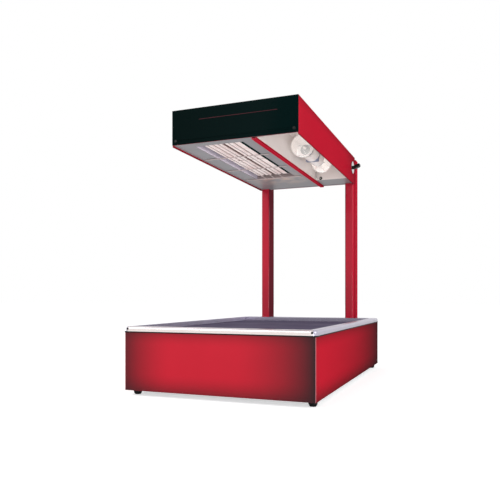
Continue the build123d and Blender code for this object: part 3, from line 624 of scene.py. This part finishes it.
def build_tiles(sizes, ceramic):
    """Four heater tiles, each a body with two long rounded bars on its face."""
    low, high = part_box("ceramic_elements")
    wide, long = (high.x - low.x - sizes.tile_gap) / 2, (high.y - low.y - sizes.tile_gap) / 2
    bar, back = wide / 2, low.z + sizes.bar_depth
    body_inset, overlap = 1 * MM, 0.5 * MM
    made = bmesh.new()
    for column in range(2):
        for row in range(2):
            left = low.x + column * (wide + sizes.tile_gap)
            near = low.y + row * (long + sizes.tile_gap)
            add_block(made, (left + body_inset, near + body_inset, back - overlap),
                      (left + wide - body_inset, near + long - body_inset, high.z), sizes.part_round)
            for side in range(2):
                start = left + side * bar + sizes.bar_gap / 2
                add_block(made, (start, near, low.z), (start + bar - sizes.bar_gap, near + long, back),
                          sizes.bar_round, 4)
    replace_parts(finish_piece("heater_tiles", made, ceramic, "head", 40), "ceramic_elements")


def build_feet(rubber):
    """Four domed rubber feet, each with a recess for its screw."""
    low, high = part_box("bumper_feet")
    radius = 8 * MM
    outline = [(2.1, 10), (7.4, 10), (8.0, 9.5), (7.9, 6.4), (7.4, 3.8), (6.6, 1.8), (5.7, 0.5), (5.0, 0.0),
               (4.2, 0.2), (3.8, 0.8), (3.75, 4.6), (2.1, 4.6), (2.1, 10)]
    made = bmesh.new()
    for x in (low.x + radius, high.x - radius):
        for y in (low.y + radius, high.y - radius):
            add_turned(made, in_mm(outline), (x, y, 0), "Z", 36)
    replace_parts(finish_piece("domed_feet", made, rubber, "root", 40), "bumper_feet")


def build_rim_shadow_strip(sizes, rubber):
    """Dark strip under the bright rim, round three sides of the body; its thin dark line is a painted shadow under
    the rim's overhang.
    """
    front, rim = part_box("base_front_panel"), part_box("rim_front_rail")
    side_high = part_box("base_right_panel")[1]
    top, bottom = rim[0].z + 0.1 * MM, rim[0].z - sizes.shadow_strip_height
    reach = side_high.x + sizes.shadow_strip_proud
    near = front[0].y - sizes.shadow_strip_proud
    made = bmesh.new()
    add_block(made, (-reach, near, bottom), (reach, front[0].y, top), 0.2 * MM)
    for x in (-reach, side_high.x):
        add_block(made, (x, front[0].y, bottom), (x + sizes.shadow_strip_proud, side_high.y, top), 0.1 * MM)
    finish_piece("rim_shadow_strip", made, rubber, "root")


def build_rim_end_shades(rubber):
    """Small dark plugs in the open ends of the bright front rail: painted shade for the dark hollow of those ends.
    """
    low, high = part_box("rim_front_rail")
    half, from_end, rise, sunk = Vector((2.0, 0.6, 1.7)) * MM, 0.6 * MM, 4.6 * MM, 0.3 * MM
    made = bmesh.new()
    for x in (low.x + from_end, high.x - from_end):
        middle = Vector((x, low.y + sunk, low.z + rise))
        add_block(made, middle - half, middle + half, 0.5 * MM, 3)
    finish_piece("rim_end_shades", made, rubber, "root")


def build_front_stripe(sizes, paint):
    """One thin plain line with round ends across the black front panel."""
    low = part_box("head_front_panel")[0]
    finish = moulded("stripe enamel", paint.stripe_red, rough=0.45, scale=1500, height=0.05, wear=0.1, level=0.1)
    aside, rise = 9 * MM, 44.5 * MM
    middle = Vector((aside, low.y, low.z + rise))
    half = Vector((sizes.stripe_length / 2, 0, sizes.stripe_width / 2))
    made = bmesh.new()
    add_block(made, middle - half - Vector((0, sizes.stripe_thick, 0)), middle + half)
    ends = [e for e in made.edges if abs((e.verts[0].co - e.verts[1].co).y) > sizes.stripe_thick / 2]
    round_edges(made, ends, 0.48 * sizes.stripe_width, 4)
    finish_piece("front_stripe", made, finish, "head")


def add_cross_screw(bm, radius, height, shank_radius, reach, recess):
    """A pan-head screw that looks along +Z, with a cross in its head."""
    half_step = Matrix.Rotation(math.radians(15), 4, "Z")
    top_radius, inset, shoulder = 0.8 * radius, 0.2 * radius, 0.45 * height
    rim = bmesh.ops.create_circle(bm, cap_ends=True, segments=12, radius=top_radius, matrix=half_step)["verts"]
    face = rim[0].link_faces[0]
    bmesh.ops.translate(bm, verts=rim, vec=(0, 0, height))
    grown = list(face.edges)
    bmesh.ops.inset_individual(bm, faces=[face], thickness=inset)
    arm, half_arm, even = 0.55 * radius, 0.13 * radius, 0.05 * radius
    for corner in face.verts:
        x, y = corner.co.x, corner.co.y
        lean = abs(x) - abs(y)
        wide, tall = (arm if way * lean >= even else half_arm for way in (1, -1))
        corner.co.x, corner.co.y = math.copysign(wide, x), math.copysign(tall, y)
    sunk = bmesh.ops.extrude_discrete_faces(bm, faces=[face])["faces"][0]
    bmesh.ops.translate(bm, verts=list(sunk.verts), vec=(0, 0, -recess))
    rings = (radius, shoulder), (radius, 0.0), (shank_radius, 0.0), (shank_radius, -reach)
    for ring_radius, ring_height in rings:
        pulled = bmesh.ops.extrude_edge_only(bm, edges=grown)["geom"]
        points = [v for v in pulled if isinstance(v, bmesh.types.BMVert)]
        grown = [e for e in pulled if isinstance(e, bmesh.types.BMEdge) and all(v in points for v in e.verts)]
        for point in points:
            flat = Vector((point.co.x, point.co.y, 0)).normalized() * ring_radius
            point.co = flat + Vector((0, 0, ring_height))
    bmesh.ops.contextual_create(bm, geom=grown)


def build_front_screws(sizes, dark):
    """Two cross-head screws that hold the black front panel."""
    low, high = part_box("front_panel_screws")
    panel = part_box("head_front_panel")[0].y
    radius = (high.z - low.z) / 2
    made = bmesh.new()
    upright = Matrix.Rotation(math.radians(90), 4, "X")
    for x in (low.x + radius, high.x - radius):
        before = set(made.verts)
        add_cross_screw(made, radius, height=panel - low.y, shank_radius=1.5 * MM, reach=high.y - panel,
                        recess=sizes.screw_recess)
        carry(made, before, Matrix.Translation((x, panel, (low.z + high.z) / 2)) @ upright)
    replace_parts(finish_piece("front_cross_screws", made, dark, "head", 30), "front_panel_screws")


def build_rocker_marks(sizes, paint):
    """A bar on the upper half and a ring on the lower half of each rocker."""
    finish = moulded("printed mark", paint.mark_white, rough=0.5, scale=1500, height=0.05, wear=0.0, level=0.2)
    top, sunk = sizes.mark_raise, 0.05 * MM
    half_wide, half_tall, inner, outer = 0.4 * MM, 2.2 * MM, 1.6 * MM, 2.3 * MM
    hinge_depth, hinge_rise, face_out, face_up = 2.95 * MM, 0.5 * MM, 1.5 * MM, 6 * MM
    aside, tilt, fall, run = Vector((-1, 0, 0)), Matrix.Rotation(math.radians(10), 4, "X"), 3, 12
    for switch in ("heat", "light"):
        low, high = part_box(switch + "_rocker")
        middle = (low + high) / 2
        hinge = Matrix.Translation((middle.x, high.y - hinge_depth, middle.z + hinge_rise)) @ tilt
        whole = bmesh.new()
        for half in (1, -1):
            slope = Vector((0, -fall * half, run)).normalized()
            turn = Matrix((aside, slope, aside.cross(slope))).transposed().to_4x4()
            placed = hinge @ Matrix.Translation((0, face_out, half * face_up)) @ turn
            before = set(whole.verts)
            if half == 1:
                add_block(whole, (-half_wide, -half_tall, -sunk), (half_wide, half_tall, top))
            else:
                add_turned(whole, [(inner, 0), (outer, 0), (outer, top), (inner, top), (inner, 0)],
                           (0, 0, 0), "Z", 28)
            carry(whole, before, placed)
        finish_piece(switch + "_rocker_marks", whole, finish, switch + "_switch")


# ---- looks of the solids ----
ALONG_X, ALONG_Y = (0.02, 1, 1), (1, 0.02, 1)


def paint_base_shell(paint):
    """Paints the four panels of the base, with painted shade that darkens them towards their edges."""
    low, top = (0.3, 0.66), (0.22, 0.52)
    panels = {
        "base_front_panel": ("X", (0.26, 0.82), (0.4, 1.0)),
        "base_right_panel": ("Y", (0.05, 0.1), (0.85, 0.93)),
        "base_left_panel": ("Y", (0.2, 0.6), (0.5, 0.8)),
        "base_rear_panel": ("X", (0.25, 0.8), (0.25, 0.8)),
    }
    for node, (axis, left, right) in panels.items():
        fade = (node, axis, (left, right, low, top), paint.edge_shade_dark)
        # Painted highlight: the front-facing edge of each side panel is paler.
        cut = [("Y", -1, paint.edge_glint)] if axis == "Y" else []
        finish = enamel(node.replace("_", " ") + " enamel", paint.base_red, paint.chip_and_glint_pink, fade,
                        coat=0.2, wear=0.45, sides=cut)
        cover(finish, node)


def fascia_finish(paint):
    """Green-black enamel of the front panel, lighter towards one side."""
    material, tree, place = start_material("fascia enamel", Specular_IOR_Level=0.0, Coat_Roughness=0.12)
    across = within(tree, place, "head_front_panel", "X")[0]
    base = mix(tree, across, paint.fascia_black, paint.fascia_lift)
    base = mix(tree, edge_wear_and_glint(tree, place, 0.6 * MM, 0.12), base, paint.zinc)
    return surface(material, place, base, scale=500, rough=0.4, swing=0.08, height=0.05, depth=0.5 * MM,
                   coat=0.015)


def paint_head_shell(paint):
    """Paints the panels of the head, its divider and the two posts."""
    red, chip_and_glint = paint.head_red, paint.chip_and_glint_pink
    cover(enamel("head enamel", red, chip_and_glint), "head_top_panel", "post_caps")
    # Painted shade: the side panels darken towards the rear and the lower edge.
    side_edges = (0.02, 0.0), (0.3, 0.5), (0.05, 0.8), (0.3, 0.35)
    # Painted shade: faces that look down take the dark edge colour.
    lower = [("Z", -1, paint.head_edge_shade)]
    for node in ("head_left_panel", "head_right_panel"):
        fade = (node, "Y", side_edges, paint.head_rear_shade)
        cover(enamel(node.replace("_", " "), red, chip_and_glint, fade, sides=lower), node)
    cover(enamel("head frame enamel", red, chip_and_glint, under=paint.lining), "head_rear_panel", "head_front_frame")
    cover(enamel("divider enamel", paint.divider_red, chip_and_glint, coat=0.15, wear=0.2), "divider_channel")
    # Painted shade: each post's front, rear and inner faces are painted darker.
    for side, inward in (("left", 1), ("right", -1)):
        turned = [("Y", sign, paint.post_front_shade) for sign in (-1, 1)] + [("X", inward, paint.post_inner_shade)]
        post = enamel(side + " post enamel", paint.post_red, chip_and_glint, coat=0.35, rough=0.3, sides=turned)
        cover(post, side + "_post")
    cover(fascia_finish(paint), "head_front_panel")


def heat_lining_finish(paint):
    """Satin sheet, tinted in warm and pale patches behind the heaters."""
    material, tree, place = start_material("heat lining", Metallic=0.22, Specular_IOR_Level=0.1)
    base = drifting(tree, place, 9.0, paint.lining, shade(paint.lining, 0.93))
    low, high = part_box("element_reflector")
    aside, behind, cool, hottest = 5 * MM, 4 * MM, 90 * MM, 15 * MM
    hot = Vector(((low.x + high.x) / 2 + aside, high.y - behind, low.z))
    away = add(tree, "ShaderNodeVectorMath", {"operation": "DISTANCE"}, _0=place, _1=hot).outputs["Value"]
    near = remap(tree, away, cool, hottest)
    patches = remap(tree, noise(tree, place, 34.0, 2.0), 0.42, 0.6)
    base = mix(tree, times(tree, near, patches), base, paint.heat_tint)
    return surface(material, place, base, scale=1800, rough=0.42, swing=0.14, height=0.06, depth=0.1 * MM,
                   stretch=ALONG_Y)


def polish_finish(paint):
    """Polished sheet round the heaters; its end walls are warm from the heat and darker with painted shade."""
    material, tree, place = start_material("polished reflector", Metallic=0.3)
    base = drifting(tree, place, 26.0, paint.polish, shade(paint.polish, 0.92))
    # Heat tint and painted shade on the faces that look along the heaters.
    end_wall_tint_and_shade = remap(tree, maths(tree, "ABSOLUTE", facing(tree)["Y"]), 0.4, 0.9)
    base = mix(tree, end_wall_tint_and_shade, base, paint.end_wall_tint_and_shade)
    return surface(material, place, base, scale=1500, rough=0.3, swing=0.08, height=0.02, depth=0.1 * MM,
                   stretch=ALONG_Y)


def hard_coat_finish(paint):
    """Dark coating of the plate, satin from above and deep along the surface."""
    material, tree, place = start_material("hard coat", Specular_IOR_Level=0.0, Coat_Roughness=0.3)
    base = drifting(tree, place, 9.0, paint.hard_coat, paint.hard_coat_low)
    film = use(tree, "Settled film", Place=place, Amount=0.12)["Mask"]
    base = mix(tree, film, base, paint.lining)
    return surface(material, place, base, scale=1600, rough=0.45, swing=0.1, height=0.03, depth=0.2 * MM, coat=0.4)


def paint_metalwork(paint):
    """Finishes the rim, the plate, the linings and the plated parts."""
    rim_x = metal("bright rim across", paint.bright_metal, ALONG_X, rough=0.26, swing=0.08, drift=0.98,
                  height=0.03, film=0.04, rise=("rim_front_rail", paint.rim_upper_shade), shine=0.8)
    cover(rim_x, "rim_front_rail")
    # Painted shade: side rails and deck use a darker, bluer tone of the same metal.
    rim_y = metal("bright rim along", paint.rim_side_shade, ALONG_Y, rough=0.3, swing=0.06, drift=0.94,
                  height=0.01, film=0.05, shine=0.8)
    cover(rim_y, "rim_left_rail", "rim_right_rail")
    deck = metal("bright deck", paint.rim_side_shade, ALONG_X, rough=0.22, swing=0.08, drift=0.94, height=0.03)
    cover(deck, "rear_deck")
    zinc = metal("galvanised sheet", paint.zinc, scale=900, rough=0.38)
    cover(zinc, "base_floor", "corner_angles", "insulation_retainer", "rear_cross_member")
    plated = metal("bright plate", paint.zinc, scale=3000, rough=0.2, swing=0.12)
    cover(plated, "foot_screws", "post_screws", "head_arms", "left_stud_and_washer", "right_stud_and_washer",
          "element_clips", "base_thermostat")
    cover(heat_lining_finish(paint), "heat_lining")
    lining = metal("satin lining", shade(paint.lining, 0.85), ALONG_X, scale=1800, rough=0.42, swing=0.14,
                   drift=0.94, height=0.06, shine=0.3)
    cover(lining, "lamp_end_lining")
    cover(polish_finish(paint), "element_reflector")
    cover(metal("guard wire", paint.wire, scale=3000, rough=0.35, swing=0.1, drift=0.85, shine=0.6), "wire_guard")
    cover(metal("switch brass", paint.brass, scale=3000), "switch_tabs")
    cover(hard_coat_finish(paint), "holding_plate")


def tile_finish(paint):
    """Fired ceramic: pale below, with painted shade on the sides that face its neighbours."""
    material, tree, place = start_material("heater ceramic", Specular_IOR_Level=0.3)
    base = drifting(tree, place, 26.0, paint.ceramic, paint.ceramic_pink)
    # Painted shade: faces that don't look down are darker.
    turned = remap(tree, facing(tree)["Z"], -0.75, -0.2)
    base = mix(tree, turned, base, paint.tile_side_shade)
    return surface(material, place, base, scale=1300, rough=0.5, swing=0.12, height=0.08, depth=0.4 * MM)


def paint_heaters_and_lamps(paint):
    """Finishes the terminal block, the lamp trough and what stands in it."""
    white, warm = paint.enamel_white, paint.enamel_warm
    block = two_tone("terminal ceramic", paint.ceramic, paint.ceramic_pink, patch=26, rough=0.55, scale=1300)
    cover(block, "head_terminal_block")
    trough = two_tone("lamp enamel", white, warm, patch=8, rough=0.3, scale=500, level=0.3, height=0.06)
    cover(trough, "lamp_reflector")
    cover(two_tone("socket porcelain", white, warm, patch=40, rough=0.25), "lamp_sockets")
    # Painted shade: caps and bracket are bluish grey for their metal in shade.
    caps = moulded("lamp cap metal", paint.cap_shade_blue, rough=0.35, scale=2200, height=0.05, level=0.5)
    cover(caps, "lamp_caps", "lamp_bracket")
    # Painted shade: the bar is black where the gap beside the heaters lies in shadow.
    cover(enamel("rail enamel", paint.rail_shadow_black, paint.zinc, coat=0.1, wear=0.1), "element_rail")


folded_sheets = (
    "base_front_panel", "base_left_panel", "base_right_panel", "base_rear_panel", "head_front_panel",
    "head_left_panel", "head_right_panel", "head_top_panel", "head_front_frame"
)


def paint_trim(paint):
    """Finishes rubber, plastic, sleeves and insulation; the added pieces use the rubber and the plastic too."""
    rubber = moulded("rubber", paint.rubber, rough=0.6, scale=1700, height=0.2, wear=0.12, level=0.15)
    cover(rubber, "lead_grommet", "post_bushing")
    plastic = moulded("black plastic", paint.plastic, rough=0.35, scale=2200, height=0.08, wear=0.2, level=0.2)
    cover(plastic, "left_knob", "right_knob", "switch_housings", "heat_rocker", "light_rocker", "cord_gland")
    sleeve = moulded("lead sleeve", paint.rubber, rough=0.5, scale=2600, height=0.3, level=0.2)
    cover(sleeve, "base_leads", "post_cable")
    cover(moulded("fibre sleeve", paint.sleeve_pale, rough=0.7, scale=2600, height=0.4, level=0.1), "head_leads")
    cover(moulded("silicone mat", paint.silicone, rough=0.55, scale=1900, height=0.3), "base_heater_blanket")
    wool = moulded("mineral wool", paint.wool, rough=0.9, scale=380, height=0.9)
    cover(wool, "base_insulation", "head_insulation")
    cover(moulded("phenolic", paint.phenolic, rough=0.45, height=0.2), "base_terminal_block")
    return rubber, plastic


def glass_material(paint):
    """Milky lamp glass: mostly clear, with some white in it and a faint painted glow."""
    material, tree, place = start_material(
        "lamp glass", Transmission_Weight=0.92, IOR=1.4, Emission_Strength=0.16, Coat_Weight=1.0
    )
    tint = drifting(tree, place, 30.0, paint.glass_milk_glow, shade(paint.glass_milk_glow, 0.96))
    # Painted glow: the glass gives off a faint light of its own tint.
    join(tree, tint, tree.nodes["Principled BSDF"].inputs["Emission Color"])
    return surface(material, place, tint, scale=300, rough=0.05, swing=0.03, height=0.02, depth=0.5 * MM)


# ---- stage ----
WHITE = (1, 1, 1)


def build_floor(stage):
    """One large plain sheet, lifted towards white where it is seen."""
    made = bmesh.new()
    bmesh.ops.create_grid(made, x_segments=1, y_segments=1, size=12)
    mesh = bpy.data.meshes.new("studio_floor")
    made.to_mesh(mesh)
    made.free()
    material, tree, place = start_material("studio floor", Roughness=0.9, Specular_IOR_Level=0.0)
    pale = stage.floor_colour
    shader = tree.nodes["Principled BSDF"]
    join(tree, mix(tree, noise(tree, place, 3.0), pale, shade(pale, 0.99)), shader.inputs["Base Color"])
    seen = seen_rays(tree, stage.floor_lift, stage.mirror_lift)
    lift = add(tree, "ShaderNodeEmission", Color=WHITE, _1=seen).outputs[0]
    both = add(tree, "ShaderNodeAddShader", _0=shader.outputs["BSDF"], _1=lift).outputs[0]
    join(tree, both, tree.nodes["Material Output"].inputs["Surface"])
    mesh.materials.append(material)
    floor = show("studio_floor", mesh)


def seen_rays(tree, strength, mirrored):
    """Strength for what the camera sees, straight or through glass, and mirrored, and none for other light."""
    rays = tree.nodes.new("ShaderNodeLightPath").outputs
    straight = maths(tree, "MAXIMUM", rays["Is Camera Ray"], rays["Is Transmission Ray"])
    return maths(tree, "MAXIMUM", times(tree, straight, strength), times(tree, rays["Is Glossy Ray"], mirrored))


def build_world(stage):
    """Even light all round; what is seen or mirrored of it is white."""
    world = bpy.data.worlds.new("studio air")
    bpy.context.scene.world = world
    world.use_nodes = True
    tree = world.node_tree
    tree.nodes.clear()
    plain = add(tree, "ShaderNodeBackground", Color=WHITE, Strength=stage.ambient).outputs[0]
    bright = add(tree, "ShaderNodeBackground", Color=WHITE, Strength=1.0).outputs[0]
    chosen = add(tree, "ShaderNodeMixShader", _0=seen_rays(tree, 1.0, 1.0), _1=plain, _2=bright).outputs[0]
    add(tree, "ShaderNodeOutputWorld", Surface=chosen)


def add_lamp(name, place, aim, size, power):
    """A soft square lamp that looks at a point."""
    lamp = bpy.data.lights.new(name, "AREA")
    lamp.shape = "SQUARE"
    lamp.size = size
    lamp.energy = power
    made = show(name, lamp)
    made.location = place
    made.rotation_euler = (Vector(aim) - Vector(place)).to_track_quat("-Z", "Y").to_euler()
    return made


def build_stage(stage):
    """The floor, the light and the camera."""
    build_floor(stage)
    build_world(stage)
    body, beneath = (0, 0, 0.25), (0.02, -0.05, 0.2)
    add_lamp("key_lamp", (-1.3, -2.2, 1.7), body, 1.4, stage.key)
    add_lamp("side_lamp", (2.3, -0.7, 1.2), body, 1.4, stage.fill)
    add_lamp("low_lamp", (0.95, -1.6, 0.14), (0.05, -0.05, 0.45), 0.45, stage.low)
    under = add_lamp("under_lamp", beneath, (0.02, -0.05, 0.5), 0.42, stage.under)
    under.visible_camera = False
    lens = bpy.data.cameras.new("view")
    lens.lens = stage.camera_lens
    lens.sensor_width = 36
    lens.shift_y = stage.camera_shift
    camera = show("view", lens)
    camera.location = stage.camera_place
    camera.rotation_euler = (math.radians(90), 0, stage.camera_turn)
    bpy.context.scene.camera = camera
    bpy.context.scene.view_settings.view_transform = "Standard"


# ---- operators ----
class WARMER_OT_groups(bpy.types.Operator):
    """Make the shared shader groups"""

    bl_idname = "warmer.groups"
    bl_label = "Shared effects"

    def execute(self, context):
        for make in (marks_groups, blotch_group, edge_group, dust_group, fade_group):
            make()
        return {"FINISHED"}


class WARMER_OT_stage(bpy.types.Operator):
    """Make the floor, the light and the camera"""

    bl_idname = "warmer.stage"
    bl_label = "Stage"

    def execute(self, context):
        build_stage(context.scene.warmer_stage)
        return {"FINISHED"}


class WARMER_OT_shell(bpy.types.Operator):
    """Paint the base panels, the posts and the head"""

    bl_idname = "warmer.shell"
    bl_label = "Painted shell"

    def execute(self, context):
        paint_base_shell(context.scene.warmer_paint)
        paint_head_shell(context.scene.warmer_paint)
        return {"FINISHED"}


class WARMER_OT_metal(bpy.types.Operator):
    """Finish the rim, plate, linings and other metal"""

    bl_idname = "warmer.metal"
    bl_label = "Metalwork"

    def execute(self, context):
        paint_metalwork(context.scene.warmer_paint)
        return {"FINISHED"}


class WARMER_OT_heat(bpy.types.Operator):
    """Finish the heaters and the lamp trough"""

    bl_idname = "warmer.heat"
    bl_label = "Heaters and trough"

    def execute(self, context):
        paint = context.scene.warmer_paint
        paint_heaters_and_lamps(paint)
        build_tiles(context.scene.warmer_sizes, tile_finish(paint))
        return {"FINISHED"}


class WARMER_OT_trim(bpy.types.Operator):
    """Finish rubber, plastic and insulation"""

    bl_idname = "warmer.trim"
    bl_label = "Trim"

    def execute(self, context):
        paint, sizes = context.scene.warmer_paint, context.scene.warmer_sizes
        rubber, plastic = paint_trim(paint)
        build_feet(rubber)
        build_rim_shadow_strip(sizes, rubber)
        build_rim_end_shades(rubber)
        build_front_stripe(sizes, paint)
        build_front_screws(sizes, plastic)
        build_rocker_marks(sizes, paint)
        soften(sizes.sheet_round, *folded_sheets)
        soften(sizes.part_round, "post_caps", "cord_gland", "switch_housings")
        soften(sizes.knob_round, "left_knob", "right_knob")
        return {"FINISHED"}


class WARMER_OT_lamp_glass(bpy.types.Operator):
    """Blow the two lamp bulbs and mount their filaments"""

    bl_idname = "warmer.lamp_glass"
    bl_label = "Lamp glass"

    def execute(self, context):
        paint = context.scene.warmer_paint
        build_lamp_glass(context.scene.warmer_sizes, glass_material(paint))
        build_lamp_insides(paint, context.scene.warmer_sizes)
        return {"FINISHED"}


class WARMER_PT_panel(bpy.types.Panel):
    """Lists every step of the warmer"""

    bl_idname = "WARMER_PT_panel"
    bl_label = "Warmer"
    bl_space_type = "VIEW_3D"
    bl_region_type = "UI"
    bl_category = "Warmer"

    def draw(self, context):
        for step in steps:
            self.layout.operator(step.bl_idname)


steps = (WARMER_OT_groups, WARMER_OT_stage, WARMER_OT_shell, WARMER_OT_metal, WARMER_OT_heat, WARMER_OT_trim,
         WARMER_OT_lamp_glass)
settings = {"warmer_paint": WarmerPaint, "warmer_sizes": WarmerSizes, "warmer_stage": WarmerStage}
classes = (*settings.values(), *steps, WARMER_PT_panel)


def register():
    for item in classes:
        bpy.utils.register_class(item)
    for name, kind in settings.items():
        setattr(bpy.types.Scene, name, PointerProperty(type=kind))


def unregister():
    for name in settings:
        delattr(bpy.types.Scene, name)
    for item in reversed(classes):
        bpy.utils.unregister_class(item)


def main():
    register()
    for step in steps:
        family, name = step.bl_idname.split(".")
        getattr(getattr(bpy.ops, family), name)()


if __name__ == "__main__":
    main()
